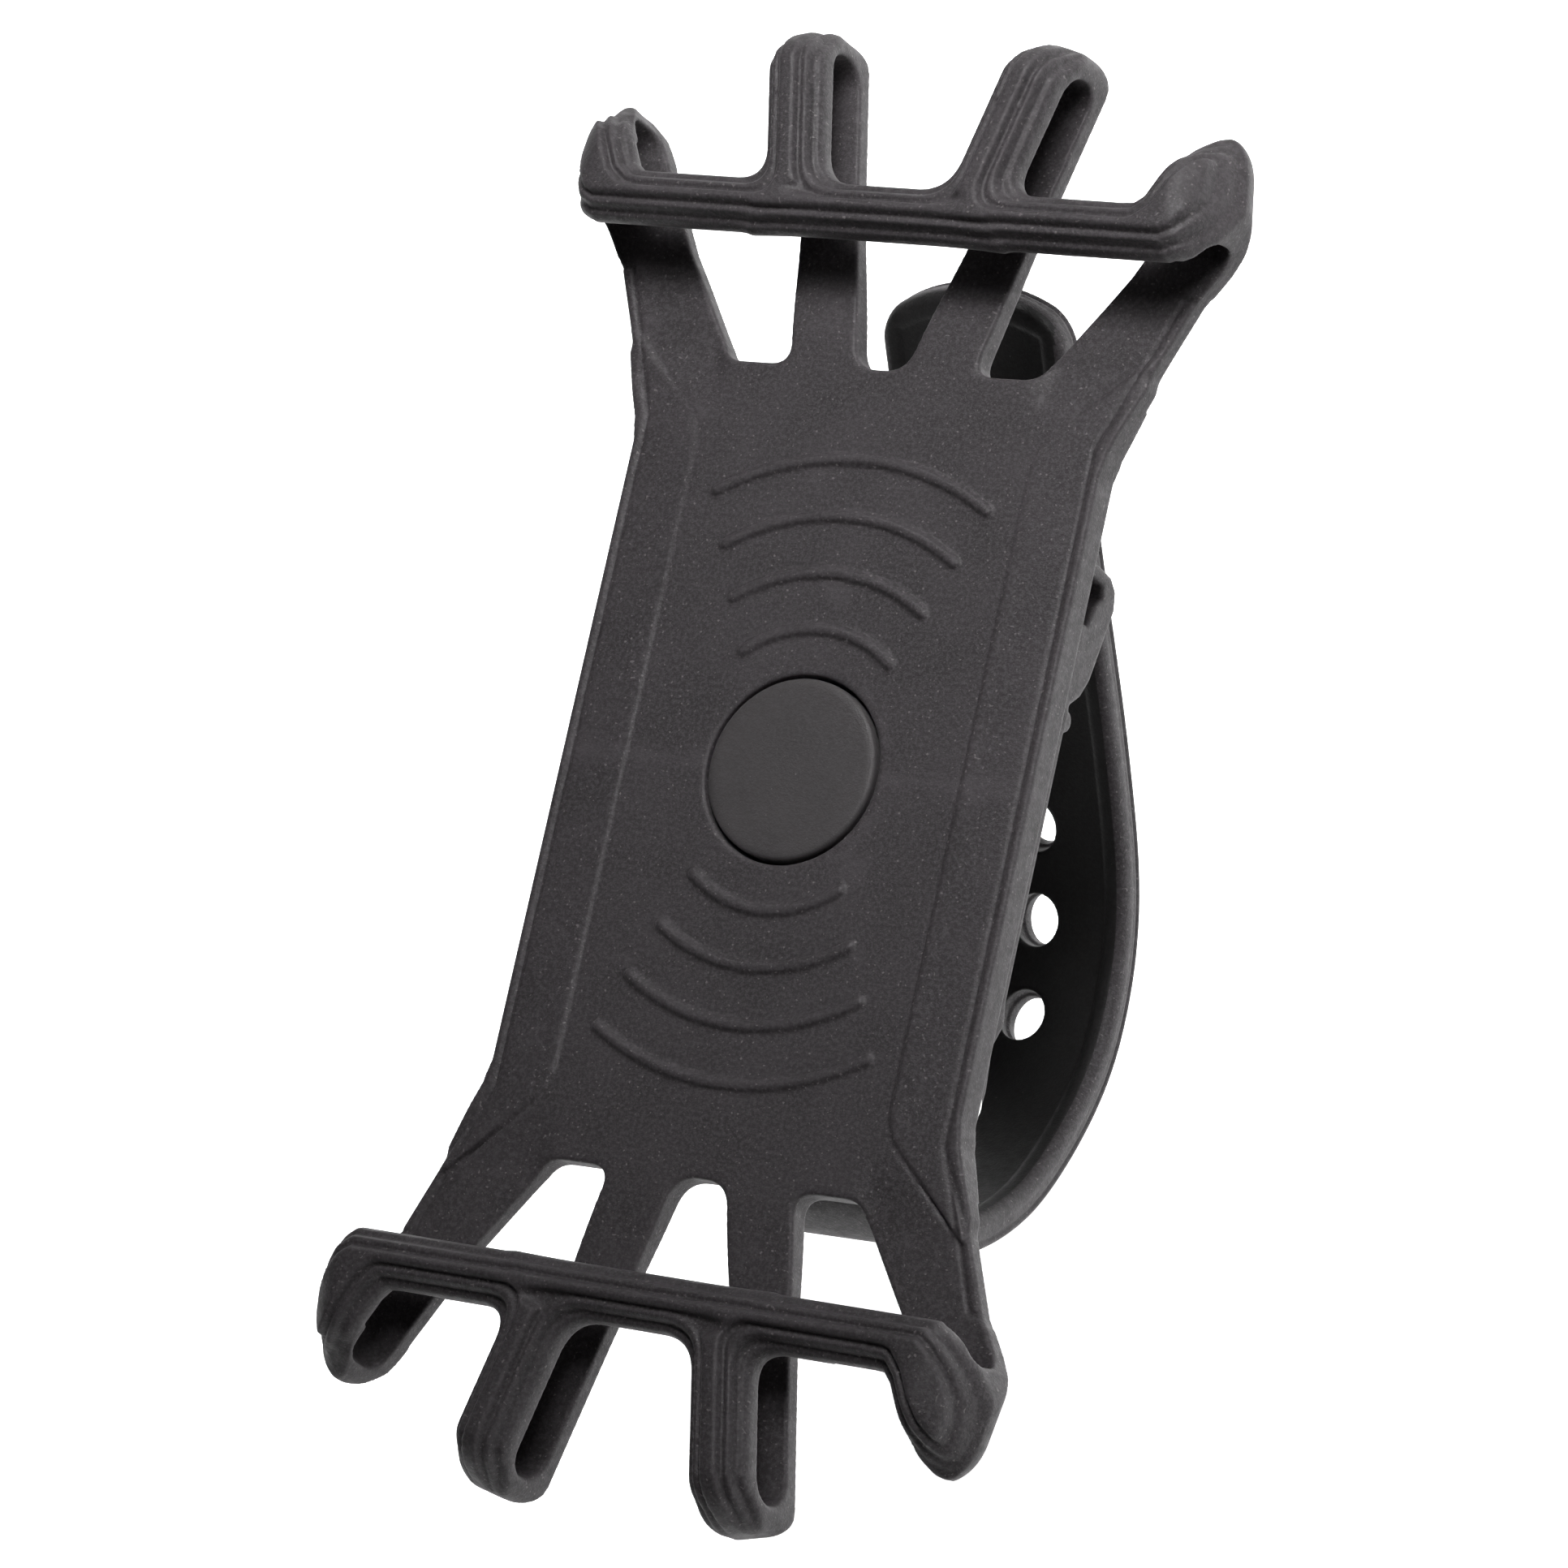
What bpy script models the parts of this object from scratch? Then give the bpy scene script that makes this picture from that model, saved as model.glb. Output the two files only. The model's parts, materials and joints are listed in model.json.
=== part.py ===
"""Phone handlebar mount: a moulded silicone cradle on a swivel hub, strapped to a handlebar.

Frame: X across the phone (and along the handlebar), Y along the phone, Z out of its screen.
The origin is on the handlebar's axis, straight below the swivel hub.
Lengths below are in millimetres and are turned into metres when a mesh is made.
"""
import math

import bmesh
import bpy
from mathutils import Matrix, Vector

MM = 0.001
GAP = 0.3                      # clearance between neighbouring pieces

# Driving dimensions
PLATE_FRONT = 40.0             # height of the phone face above the handlebar's axis
PLATE_HALF_WIDTH = 26.0
PLATE_WAIST_Y = 34.5           # end of the plate's straight sides
PLATE_THICK = 3.7
FLEX_Y = 41.2                  # where the arms leave the plate
FLARE_X = 28.8                 # half width of the plate at the flex line
BUTTON_R = 9.2
BUTTON_HOLE_R = 9.55
BUTTON_PROUD = 0.25
BUTTON_THICK = 2.65
BUTTON_TRAVEL = 2.0

BAR_INNER_Y = 51.8             # crossbar edges, back and front height over the plate
BAR_OUTER_Y = 57.3
BAR_BACK = 4.8
BAR_FRONT = 9.0
BAR_END_X = 33.0

ARM_THICK = 2.2
ARM_CENTRE = -1.7              # height of an arm's middle over the phone face
LEG_THICK = 3.5
LEG_CENTRE = 6.8

SADDLE_HALF_WIDTH = 14.0
STRAP_HALF_WIDTH = 10.5
STRAP_THICK = 3.4
HOLE_R = 2.5
HOLE_PITCH = 9.6
HOLES_BEFORE_HOOK = 5
HOLES_AFTER_HOOK = 2
STRAP_BREAK = 0.362            # share of the strap's length that stays with the base

# Swivel stack, as radii and as heights over the phone face
CORE_TOP, CORE_BOTTOM = -4.0, -5.3
FLANGE_TOP, FLANGE_BOTTOM, FLANGE_R = -5.6, -7.6, 16.4
CUP_IN, CUP_OUT = 8.3, 9.5
WEB_TOP, WEB_BOTTOM, STEM_HOLE_R = -8.6, -9.6, 2.9
LIP_TOP, LIP_BOTTOM, LIP_R = -12.0, -13.2, 11.8
WASHER_TOP, WASHER_BOTTOM = -7.9, -8.5
WALL_IN, WALL_OUT, WALL_TOP = 14.0, 16.4, -8.8
FLOOR_TOP, FLOOR_BOTTOM = -19.5, -20.9
RING_IN, RING_OUT = 9.9, 13.7
RETAINER_TOP, RETAINER_BOTTOM = -10.4, -11.6
INDEX_TOP, INDEX_BOTTOM, INDEX_SLOT_R = -13.6, -15.4, 12.1
LOCK_TOP, LOCK_BOTTOM, LOCK_R, DOG_R = -13.5, -15.0, 8.6, 11.6
STEM_R = 2.2
INDEX_STEPS = 12               # click stops in a full turn, every 30 degrees
DOG_HALF_WIDTH = 1.1
SCREW_RING_R = 6.0
SADDLE_TOP = -21.2
SADDLE_BOTTOM = -26.1
PAD_THICK = 1.0
PAD_HALF_LENGTH = 13.0
RIB_HALF, RIB_SLOPE, RIB_DEPTH = 1.5, 0.3, 0.5

RUBBER = ("silicone", (0.028, 0.026, 0.027), 0.72, 0.0)
BUTTON_RUBBER = ("button_silicone", (0.036, 0.034, 0.035), 0.66, 0.0)
PLASTIC = ("black_plastic", (0.018, 0.018, 0.019), 0.45, 0.0)
ACETAL = ("acetal", (0.55, 0.55, 0.53), 0.4, 0.0)
STEEL = ("steel", (0.56, 0.57, 0.58), 0.3, 1.0)


def clear_scene():
    for thing in list(bpy.data.objects):
        bpy.data.objects.remove(thing)


def material(recipe):
    name, colour, roughness, metallic = recipe
    if name in bpy.data.materials:
        return bpy.data.materials[name]
    made = bpy.data.materials.new(name)
    made.use_nodes = True
    shader = made.node_tree.nodes["Principled BSDF"]
    shader.inputs["Base Color"].default_value = (*colour, 1.0)
    shader.inputs["Roughness"].default_value = roughness
    shader.inputs["Metallic"].default_value = metallic
    return made


def finish_mesh(name, mesh_data, recipe, smooth=False):
    """Turn a bmesh in millimetres, heights over the phone face, into an object in metres."""
    bmesh.ops.recalc_face_normals(mesh_data, faces=mesh_data.faces)
    lift = Matrix.Translation((0.0, 0.0, PLATE_FRONT * MM)) @ Matrix.Scale(MM, 4)
    bmesh.ops.transform(mesh_data, matrix=lift, verts=mesh_data.verts)
    mesh = bpy.data.meshes.new(name)
    mesh_data.to_mesh(mesh)
    mesh_data.free()
    if smooth:
        mesh.shade_smooth()
        mesh.set_sharp_from_angle(angle=math.radians(40))
    thing = bpy.data.objects.new(name, mesh)
    bpy.context.scene.collection.objects.link(thing)
    mesh.materials.append(material(recipe))
    return thing


def prism(name, outline, low, high, recipe, plane="XY"):
    """Extrude a closed outline: plane XY along Z, plane YZ along X."""
    data = bmesh.new()
    ends = []
    for level in (low, high):
        if plane == "XY":
            ring = [data.verts.new((x, y, level)) for x, y in outline]
        else:
            ring = [data.verts.new((level, y, z)) for y, z in outline]
        ends.append(ring)
    data.faces.new(list(reversed(ends[0])))
    data.faces.new(ends[1])
    count = len(outline)
    for i in range(count):
        j = (i + 1) % count
        data.faces.new((ends[0][i], ends[0][j], ends[1][j], ends[1][i]))
    return finish_mesh(name, data, recipe)


def turned(name, profile, recipe, segments=48):
    """Revolve a closed (radius, height) outline about the swivel axis; radius 0 sits on the axis."""
    data = bmesh.new()
    columns = []
    for k in range(segments):
        angle = 2.0 * math.pi * k / segments
        columns.append([(r * math.cos(angle), r * math.sin(angle), z) for r, z in profile])
    on_axis = {i: data.verts.new((0.0, 0.0, z)) for i, (r, z) in enumerate(profile) if r == 0.0}
    rings = []
    for column in columns:
        rings.append([on_axis.get(i) or data.verts.new(p) for i, p in enumerate(column)])
    count = len(profile)
    for k in range(segments):
        here = rings[k]
        there = rings[(k + 1) % segments]
        for i in range(count):
            j = (i + 1) % count
            corners = []
            for corner in (here[i], there[i], there[j], here[j]):
                if corner not in corners:
                    corners.append(corner)
            if len(corners) > 2:
                data.faces.new(corners)
    return finish_mesh(name, data, recipe, smooth=True)


def rod(name, start, end, radius, recipe, segments=24, joined=None):
    """A cylinder between two points; joined lets several rods share one mesh."""
    data = joined or bmesh.new()
    start, end = Vector(start), Vector(end)
    turn = Vector((0, 0, 1)).rotation_difference(end - start).to_matrix().to_4x4()
    place = Matrix.Translation((start + end) / 2) @ turn
    bmesh.ops.create_cone(data, cap_ends=True, segments=segments, radius1=radius, radius2=radius,
                          depth=(end - start).length, matrix=place)
    if joined is None:
        return finish_mesh(name, data, recipe, smooth=True)
    return None


def combine(target, tool, operation):
    """Boolean a guide shape into or out of a piece; the guide stays hidden."""
    tool.hide_render = True
    tool.display_type = "WIRE"
    change = target.modifiers.new(operation.lower(), "BOOLEAN")
    change.operation = operation
    change.solver = "EXACT"
    change.object = tool


def sweep(name, stations, recipe):
    """Skin a flat bar through stations of (centre, side vector, thickness vector)."""
    data = bmesh.new()
    rings = []
    for centre, side, thick in stations:
        corners = (centre - side - thick, centre + side - thick, centre + side + thick,
                   centre - side + thick)
        rings.append([data.verts.new(corner) for corner in corners])
    data.faces.new(rings[0])
    data.faces.new(list(reversed(rings[-1])))
    for one, two in zip(rings, rings[1:]):
        for i in range(4):
            j = (i + 1) % 4
            data.faces.new((one[i], two[i], two[j], one[j]))
    return finish_mesh(name, data, recipe)


# ---------------------------------------------------------------- cradle

def build_plate():
    outline = [(FLARE_X, -FLEX_Y), (PLATE_HALF_WIDTH, -PLATE_WAIST_Y),
               (PLATE_HALF_WIDTH, PLATE_WAIST_Y), (FLARE_X, FLEX_Y),
               (-FLARE_X, FLEX_Y), (-PLATE_HALF_WIDTH, PLATE_WAIST_Y),
               (-PLATE_HALF_WIDTH, -PLATE_WAIST_Y), (-FLARE_X, -FLEX_Y)]
    plate = prism("cradle_plate", outline, -PLATE_THICK, 0.0, RUBBER)
    hole = rod("cradle_hole_cutter", (0, 0, -PLATE_THICK - 1), (0, 0, 1), BUTTON_HOLE_R, RUBBER, 48)
    combine(plate, hole, "DIFFERENCE")


def finger_stations(root, heading, length, leg_end, half_root, half_tip, square_leg):
    """A finger runs out from its root, turns up round its tip and comes back as the front leg."""
    heading = heading.normalized()
    across = Vector((heading.y, -heading.x, 0.0))
    radius = (LEG_CENTRE - ARM_CENTRE) / 2
    middle = (LEG_CENTRE + ARM_CENTRE) / 2
    turn_start = length - radius - LEG_THICK / 2
    path = [(0.0, ARM_CENTRE, 0.0), (turn_start * 0.5, ARM_CENTRE, 0.0), (turn_start, ARM_CENTRE, 0.0)]
    steps = 8
    for k in range(1, steps + 1):
        angle = math.pi * k / steps
        path.append((turn_start + radius * math.sin(angle), middle - radius * math.cos(angle), angle))
    path.append((leg_end, LEG_CENTRE, math.pi))
    stations = []
    for along, height, angle in path:
        share = min(1.0, along / turn_start)
        half = half_root + (half_tip - half_root) * share
        thick = (ARM_THICK + (LEG_THICK - ARM_THICK) * angle / math.pi) / 2
        outward = heading * math.sin(angle) + Vector((0, 0, -math.cos(angle)))
        centre = root + heading * along + Vector((0, 0, height))
        stations.append((centre, across * half, outward * thick))
    square_end(stations, 0, heading)
    if square_leg:
        square_end(stations, -1, heading)
    return stations


def square_end(stations, index, heading):
    """Cut an end parallel to X, so that it meets a straight edge."""
    centre, side, thick = stations[index]
    stations[index] = (centre, Vector((side.length / heading.y, 0.0, 0.0)), thick)


def build_grip(prefix, end):
    """One end of the cradle: four fingers and the crossbar that joins their tips."""
    start_y = FLEX_Y + GAP
    inner_root = Vector((6.55, start_y, 0.0))
    inner_heading = Vector((0.217, 1.0, 0.0))
    inner_stretch = inner_heading.length
    outer_root = Vector((23.4, start_y, 0.0))
    outer_heading = Vector((0.492, 0.871, 0.0))
    fingers = (
        ("inner", inner_root, inner_heading, (74.3 - start_y) * inner_stretch,
         (BAR_OUTER_Y + GAP - start_y) * inner_stretch, 3.6, 3.0),
        ("outer", outer_root, outer_heading, 26.4, 16.5, 4.6, 3.0),
    )
    for kind, root, heading, length, leg_end, half_root, half_tip in fingers:
        for side, label in ((-1, "left"), (1, "right")):
            flip = Vector((side, end, 1.0))
            stations = []
            for centre, across, thick in finger_stations(root, heading, length, leg_end,
                                                         half_root, half_tip, kind == "inner"):
                stations.append((centre * flip, across * flip, thick * flip))
            sweep(f"{prefix}_{label}_{kind}_finger", stations, RUBBER)
    half = [(BAR_END_X - 0.6, BAR_INNER_Y), (BAR_END_X + 0.6, BAR_INNER_Y + 2.0),
            (28.4, BAR_OUTER_Y - 0.4), (27.8, BAR_OUTER_Y)]
    outline = [(x, end * y) for x, y in half] + [(-x, end * y) for x, y in reversed(half)]
    prism(f"{prefix}_crossbar", outline, BAR_BACK, BAR_FRONT, RUBBER)


def build_core():
    outline = [(18, -28), (18, 28), (-18, 28), (-18, -28)]
    core = prism("stiffener_plate", outline, CORE_BOTTOM, CORE_TOP, PLASTIC)
    hole = rod("core_hole_cutter", (0, 0, CORE_BOTTOM - 1), (0, 0, CORE_TOP + 1), CUP_OUT + GAP, PLASTIC, 40)
    combine(core, hole, "DIFFERENCE")
    rotor = turned("rotor_hub", [
        (CUP_IN, FLANGE_TOP), (FLANGE_R, FLANGE_TOP), (FLANGE_R, FLANGE_BOTTOM), (CUP_OUT, FLANGE_BOTTOM),
        (CUP_OUT, LIP_TOP), (LIP_R, LIP_TOP), (LIP_R, LIP_BOTTOM), (CUP_IN, LIP_BOTTOM),
        (CUP_IN, WEB_BOTTOM), (STEM_HOLE_R, WEB_BOTTOM), (STEM_HOLE_R, WEB_TOP), (CUP_IN, WEB_TOP)], PLASTIC)
    holes = bmesh.new()
    for k in range(4):
        angle = math.radians(45 + 90 * k)
        x, y = 13.0 * math.cos(angle), 13.0 * math.sin(angle)
        rod(f"rotor_screw_{k + 1}", (x, y, FLANGE_TOP + 1.2), (x, y, FLANGE_BOTTOM + 0.2), 0.9, STEEL, 12)
        rod("", (x, y, CORE_TOP + 1), (x, y, FLANGE_BOTTOM - 1), 1.2, STEEL, 12, joined=holes)
    drill = finish_mesh("rotor_screw_cutter", holes, STEEL)
    combine(core, drill, "DIFFERENCE")
    combine(rotor, drill, "DIFFERENCE")


def build_button():
    top = BUTTON_PROUD
    bottom = BUTTON_PROUD - BUTTON_THICK
    turned("release_button", [(0, top), (BUTTON_R - 0.5, top), (BUTTON_R, top - 0.5),
                              (BUTTON_R, bottom), (0, bottom)], BUTTON_RUBBER, 56)
    turned("button_stem", [(0, bottom - GAP), (3.6, bottom - GAP), (3.6, bottom - GAP - 1.0),
                           (STEM_R, bottom - GAP - 1.0), (STEM_R, LOCK_TOP + GAP), (0, LOCK_TOP + GAP)],
           PLASTIC, 24)
    lock = turned("lock_disc", [(0, LOCK_TOP), (LOCK_R, LOCK_TOP), (LOCK_R, LOCK_BOTTOM), (0, LOCK_BOTTOM)],
                  PLASTIC, 32)
    dogs = radial_blocks("lock_dog_cutter", 4, LOCK_R - 1.5, DOG_R, DOG_HALF_WIDTH,
                         LOCK_BOTTOM, LOCK_TOP)
    combine(lock, dogs, "UNION")
    build_spring(bottom - GAP - GAP, WEB_TOP + GAP)


def build_spring(top, bottom):
    """Return spring round the stem: a round wire helix, open at both ends."""
    wire = 0.35
    coil_r = 5.6
    turns = 3.0
    per_turn = 16
    sides = 6
    data = bmesh.new()
    rings = []
    count = int(turns * per_turn)
    for k in range(count + 1):
        angle = 2 * math.pi * k / per_turn
        height = bottom + wire + (top - bottom - 2 * wire) * k / count
        outward = Vector((math.cos(angle), math.sin(angle), 0))
        centre = outward * coil_r + Vector((0, 0, height))
        ring = []
        for i in range(sides):
            turn = 2 * math.pi * i / sides
            offset = outward * (wire * math.cos(turn)) + Vector((0, 0, wire * math.sin(turn)))
            ring.append(data.verts.new(centre + offset))
        rings.append(ring)
    data.faces.new(rings[0])
    data.faces.new(list(reversed(rings[-1])))
    for one, two in zip(rings, rings[1:]):
        for i in range(sides):
            j = (i + 1) % sides
            data.faces.new((one[i], one[j], two[j], two[i]))
    finish_mesh("button_spring", data, STEEL, smooth=True)


def radial_blocks(name, count, inner, outer, half_width, low, high):
    data = bmesh.new()
    for k in range(count):
        place = Matrix.Rotation(2 * math.pi * k / count, 4, "Z") @ Matrix.Translation(
            ((inner + outer) / 2, 0, (low + high) / 2))
        size = Matrix.Diagonal((outer - inner, 2 * half_width, high - low, 1))
        bmesh.ops.create_cube(data, size=1.0, matrix=place @ size)
    return finish_mesh(name, data, PLASTIC)


# ---------------------------------------------------------------- base

def build_housing():
    housing = turned("swivel_housing", [
        (0, FLOOR_TOP), (WALL_IN, FLOOR_TOP), (WALL_IN, WALL_TOP), (WALL_OUT, WALL_TOP),
        (WALL_OUT, FLOOR_BOTTOM), (0, FLOOR_BOTTOM)], PLASTIC)
    turned("thrust_washer", ring_profile(WALL_IN + 0.2, WALL_OUT - 0.1, WASHER_BOTTOM, WASHER_TOP), ACETAL)
    turned("retaining_ring", ring_profile(RING_IN, RING_OUT, RETAINER_BOTTOM, RETAINER_TOP), ACETAL)
    index = turned("index_ring", ring_profile(RING_IN, RING_OUT, INDEX_BOTTOM, INDEX_TOP), ACETAL)
    slots = radial_blocks("index_slot_cutter", INDEX_STEPS, RING_IN - 1, INDEX_SLOT_R,
                          DOG_HALF_WIDTH + 0.25, INDEX_BOTTOM - 1, INDEX_TOP + 1)
    combine(index, slots, "DIFFERENCE")
    holes = bmesh.new()
    shank_end = SADDLE_BOTTOM + 1.6
    for k in range(3):
        angle = math.radians(90 + 120 * k)
        x, y = SCREW_RING_R * math.cos(angle), SCREW_RING_R * math.sin(angle)
        head = FLOOR_TOP + GAP
        pan_head_screw(f"housing_screw_{k + 1}", x, y, head + 1.2, head, shank_end)
        rod("", (x, y, head - 0.1), (x, y, shank_end - 0.5), 1.5, STEEL, 16, joined=holes)
    drill = finish_mesh("housing_screw_cutter", holes, STEEL)
    combine(housing, drill, "DIFFERENCE")
    return drill


def ring_profile(inner, outer, low, high):
    return [(inner, high), (outer, high), (outer, low), (inner, low)]


def pan_head_screw(name, x, y, head_top, head_bottom, end, head_r=1.9, shank_r=1.1, segments=16):
    """A pan-head screw as one turned body about its own axis."""
    data = bmesh.new()
    levels = ((head_r - 0.4, head_top), (head_r, head_top - 0.4), (head_r, head_bottom),
              (shank_r, head_bottom), (shank_r, end + 0.6), (0.4, end))
    rings = []
    for radius, z in levels:
        ring = []
        for k in range(segments):
            angle = 2 * math.pi * k / segments
            ring.append(data.verts.new((x + radius * math.cos(angle), y + radius * math.sin(angle), z)))
        rings.append(ring)
    data.faces.new(rings[0])
    data.faces.new(list(reversed(rings[-1])))
    for one, two in zip(rings, rings[1:]):
        for i in range(segments):
            j = (i + 1) % segments
            data.faces.new((one[i], two[i], two[j], one[j]))
    finish_mesh(name, data, STEEL, smooth=True)


def build_saddle(screw_drill):
    """A block with a lobe at each end; the lower lobe is slotted into two ears for the strap."""
    half = [(22.0, SADDLE_TOP), (26.5, SADDLE_TOP - 1.2), (29.0, SADDLE_TOP - 4.2), (29.4, -27.0),
            (27.6, -29.6), (24.6, -30.9), (18.6, -29.4), (15.4, SADDLE_BOTTOM)]
    outline = half + [(-y, z) for y, z in reversed(half)]
    saddle = prism("base_saddle", outline, -SADDLE_HALF_WIDTH, SADDLE_HALF_WIDTH, RUBBER, "YZ")
    slot_half = STRAP_HALF_WIDTH + GAP
    slot = prism("saddle_slot_cutter", [(-35, -15), (-21.8, -15), (-21.8, -35), (-35, -35)],
                 -slot_half, slot_half, RUBBER, "YZ")
    combine(saddle, slot, "DIFFERENCE")
    eye = rod("saddle_eye_cutter", (-SADDLE_HALF_WIDTH - 1, *ANCHOR), (SADDLE_HALF_WIDTH + 1, *ANCHOR),
              PIN_R + GAP, RUBBER, 20)
    combine(saddle, eye, "DIFFERENCE")
    combine(saddle, screw_drill, "DIFFERENCE")
    rod("strap_anchor_pin", (-SADDLE_HALF_WIDTH + 0.4, *ANCHOR), (SADDLE_HALF_WIDTH - 0.4, *ANCHOR),
        PIN_R, STEEL, 20)


def build_bar_pad():
    """Ribbed pad that the handlebar sits on; the middle rib is centred under the swivel."""
    top = SADDLE_BOTTOM - GAP
    low = top - PAD_THICK
    outline = [(-PAD_HALF_LENGTH, top), (PAD_HALF_LENGTH, top)]
    pitch = (PAD_HALF_LENGTH - RIB_HALF) / 3
    for k in range(3, -4, -1):
        outline.append((k * pitch + RIB_HALF, low))
        outline.append((k * pitch - RIB_HALF, low))
        if k > -3:
            outline.append((k * pitch - RIB_HALF - RIB_SLOPE, low + RIB_DEPTH))
            outline.append(((k - 1) * pitch + RIB_HALF + RIB_SLOPE, low + RIB_DEPTH))
    prism("bar_pad", outline, -12.5, 12.5, RUBBER, "YZ")


# ---------------------------------------------------------------- strap

ANCHOR = (-26.0, -25.4)        # strap pin, as (Y, height)
PIN_R = 1.4
# The strap's middle line from its eye round the bar to the tongue, as (Y, height)
STRAP_ROUTE = [(-26.0, -25.4), (-33.5, -25.6), (-37.6, -29.5), (-37.6, -36.0), (-30.2, -46.2),
               (-18.8, -53.8), (-8.6, -56.2), (2.6, -53.9), (15.4, -45.6), (33.2, -31.0),
               (44.0, -22.2), (54.5, -13.8)]
HOOK_Y = 29.6


def smooth_route(points, per_span=12):
    """A Catmull-Rom curve through the points."""
    route = []
    padded = [points[0]] + points + [points[-1]]
    for i in range(len(points) - 1):
        p0, p1, p2, p3 = (Vector(padded[i + k]) for k in range(4))
        for k in range(per_span):
            t = k / per_span
            route.append(0.5 * ((2 * p1) + (p2 - p0) * t + (2 * p0 - 5 * p1 + 4 * p2 - p3) * t * t
                                + (3 * p1 - p0 - 3 * p2 + p3) * t ** 3))
    route.append(Vector(points[-1]))
    return route


def lengths_along(route):
    total = [0.0]
    for one, two in zip(route, route[1:]):
        total.append(total[-1] + (two - one).length)
    return total


def at_length(route, lengths, distance):
    """Point and unit tangent at a distance along the route."""
    for i in range(len(route) - 1):
        if lengths[i + 1] >= distance or i == len(route) - 2:
            share = (distance - lengths[i]) / (lengths[i + 1] - lengths[i])
            return route[i].lerp(route[i + 1], share), (route[i + 1] - route[i]).normalized()
    return None


def strap_piece(name, route, lengths, start, end, step, tapered):
    """A flat band between two distances along the route; a tapered one ends in a rounded tongue."""
    stations = []
    count = max(2, round((end - start) / step))
    for k in range(count + 1):
        distance = start + (end - start) * k / count
        point, tangent = at_length(route, lengths, distance)
        half = STRAP_HALF_WIDTH
        left = end - distance
        if tapered and left < TONGUE_LENGTH:
            half = STRAP_HALF_WIDTH * math.sqrt(max(0.09, 1.0 - (1.0 - left / TONGUE_LENGTH) ** 2))
        outward = Vector((0.0, tangent.y, -tangent.x))
        stations.append((Vector((0.0, point.x, point.y)), Vector((half, 0, 0)), outward * (STRAP_THICK / 2)))
    return sweep(name, stations, RUBBER)


TONGUE_LENGTH = 7.0


def build_strap():
    route = smooth_route(STRAP_ROUTE)
    lengths = lengths_along(route)
    total = lengths[-1]
    split = total * STRAP_BREAK
    root = strap_piece("strap_root", route, lengths, 2.6, split - GAP / 2, 3.2, False)
    boss = rod("strap_eye_guide", (-STRAP_HALF_WIDTH, *ANCHOR), (STRAP_HALF_WIDTH, *ANCHOR), 3.4, RUBBER, 24)
    combine(root, boss, "UNION")
    eye = rod("strap_eye_cutter", (-STRAP_HALF_WIDTH - 1, *ANCHOR), (STRAP_HALF_WIDTH + 1, *ANCHOR),
              PIN_R + GAP, RUBBER, 20)
    combine(root, eye, "DIFFERENCE")
    band = strap_piece("strap_band", route, lengths, split + GAP / 2, total, 3.4, True)

    hook_at = next(d for p, d in zip(route, lengths) if p.x >= HOOK_Y and p.y > -45)
    holes = bmesh.new()
    for k in range(-HOLES_BEFORE_HOOK, HOLES_AFTER_HOOK + 1):
        point, tangent = at_length(route, lengths, hook_at + k * HOLE_PITCH)
        middle = Vector((0.0, point.x, point.y))
        outward = Vector((0.0, tangent.y, -tangent.x))
        rod("", middle - outward * 4, middle + outward * 4, HOLE_R, RUBBER, 20, joined=holes)
    punch = finish_mesh("strap_hole_cutter", holes, RUBBER)
    combine(band, punch, "DIFFERENCE")

    point, tangent = at_length(route, lengths, hook_at)
    outward = Vector((0.0, tangent.y, -tangent.x))
    hinge_point, hinge_tangent = at_length(route, lengths, split)
    hinge = Vector((0.0, hinge_point.x, hinge_point.y)) + Vector(
        (0.0, hinge_tangent.y, -hinge_tangent.x)) * (STRAP_THICK / 2)
    middle = Vector((0.0, point.x, point.y))
    arm = middle - hinge
    swing = Vector((0.0, arm.z, -arm.y)).normalized()
    build_hook(middle, outward, swing)
    bend = bpy.data.objects.new("strap_bend_axis", None)
    bend.location = (hinge * MM) + Vector((0, 0, PLATE_FRONT * MM))
    bpy.context.scene.collection.objects.link(bend)
    band.parent = bend
    band.matrix_parent_inverse = Matrix.Translation(-bend.location)
    print("strap bend axis y z mm", round(bend.location.y * 1000, 2), round(bend.location.z * 1000, 2))


def build_hook(middle, outward, swing):
    """The peg that the strap's holes hook on, along the path that the hole swings on."""
    foot = middle - outward * (STRAP_THICK / 2 + 0.5)
    tip = middle + swing * (STRAP_THICK / 2 + 1.6)
    data = bmesh.new()
    rod("", foot - outward * 0.35, foot + outward * 0.15, 3.2, PLASTIC, 20, joined=data)
    hook = finish_mesh("strap_hook", data, PLASTIC, smooth=True)
    peg = rod("strap_peg_guide", middle - swing * (STRAP_THICK / 2 + 0.6), tip, 1.6, PLASTIC, 16)
    combine(hook, peg, "UNION")


def main():
    clear_scene()
    build_plate()
    build_grip("upper", 1)
    build_grip("lower", -1)
    build_core()
    build_button()
    drill = build_housing()
    build_saddle(drill)
    build_bar_pad()
    build_strap()


main()
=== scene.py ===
"""Looks of the phone handlebar mount: moulded silicone cradle, strap and base, hub and studio."""

import json
import math

import bmesh
import bpy
import numpy as np
from mathutils import Matrix, Vector


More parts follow.
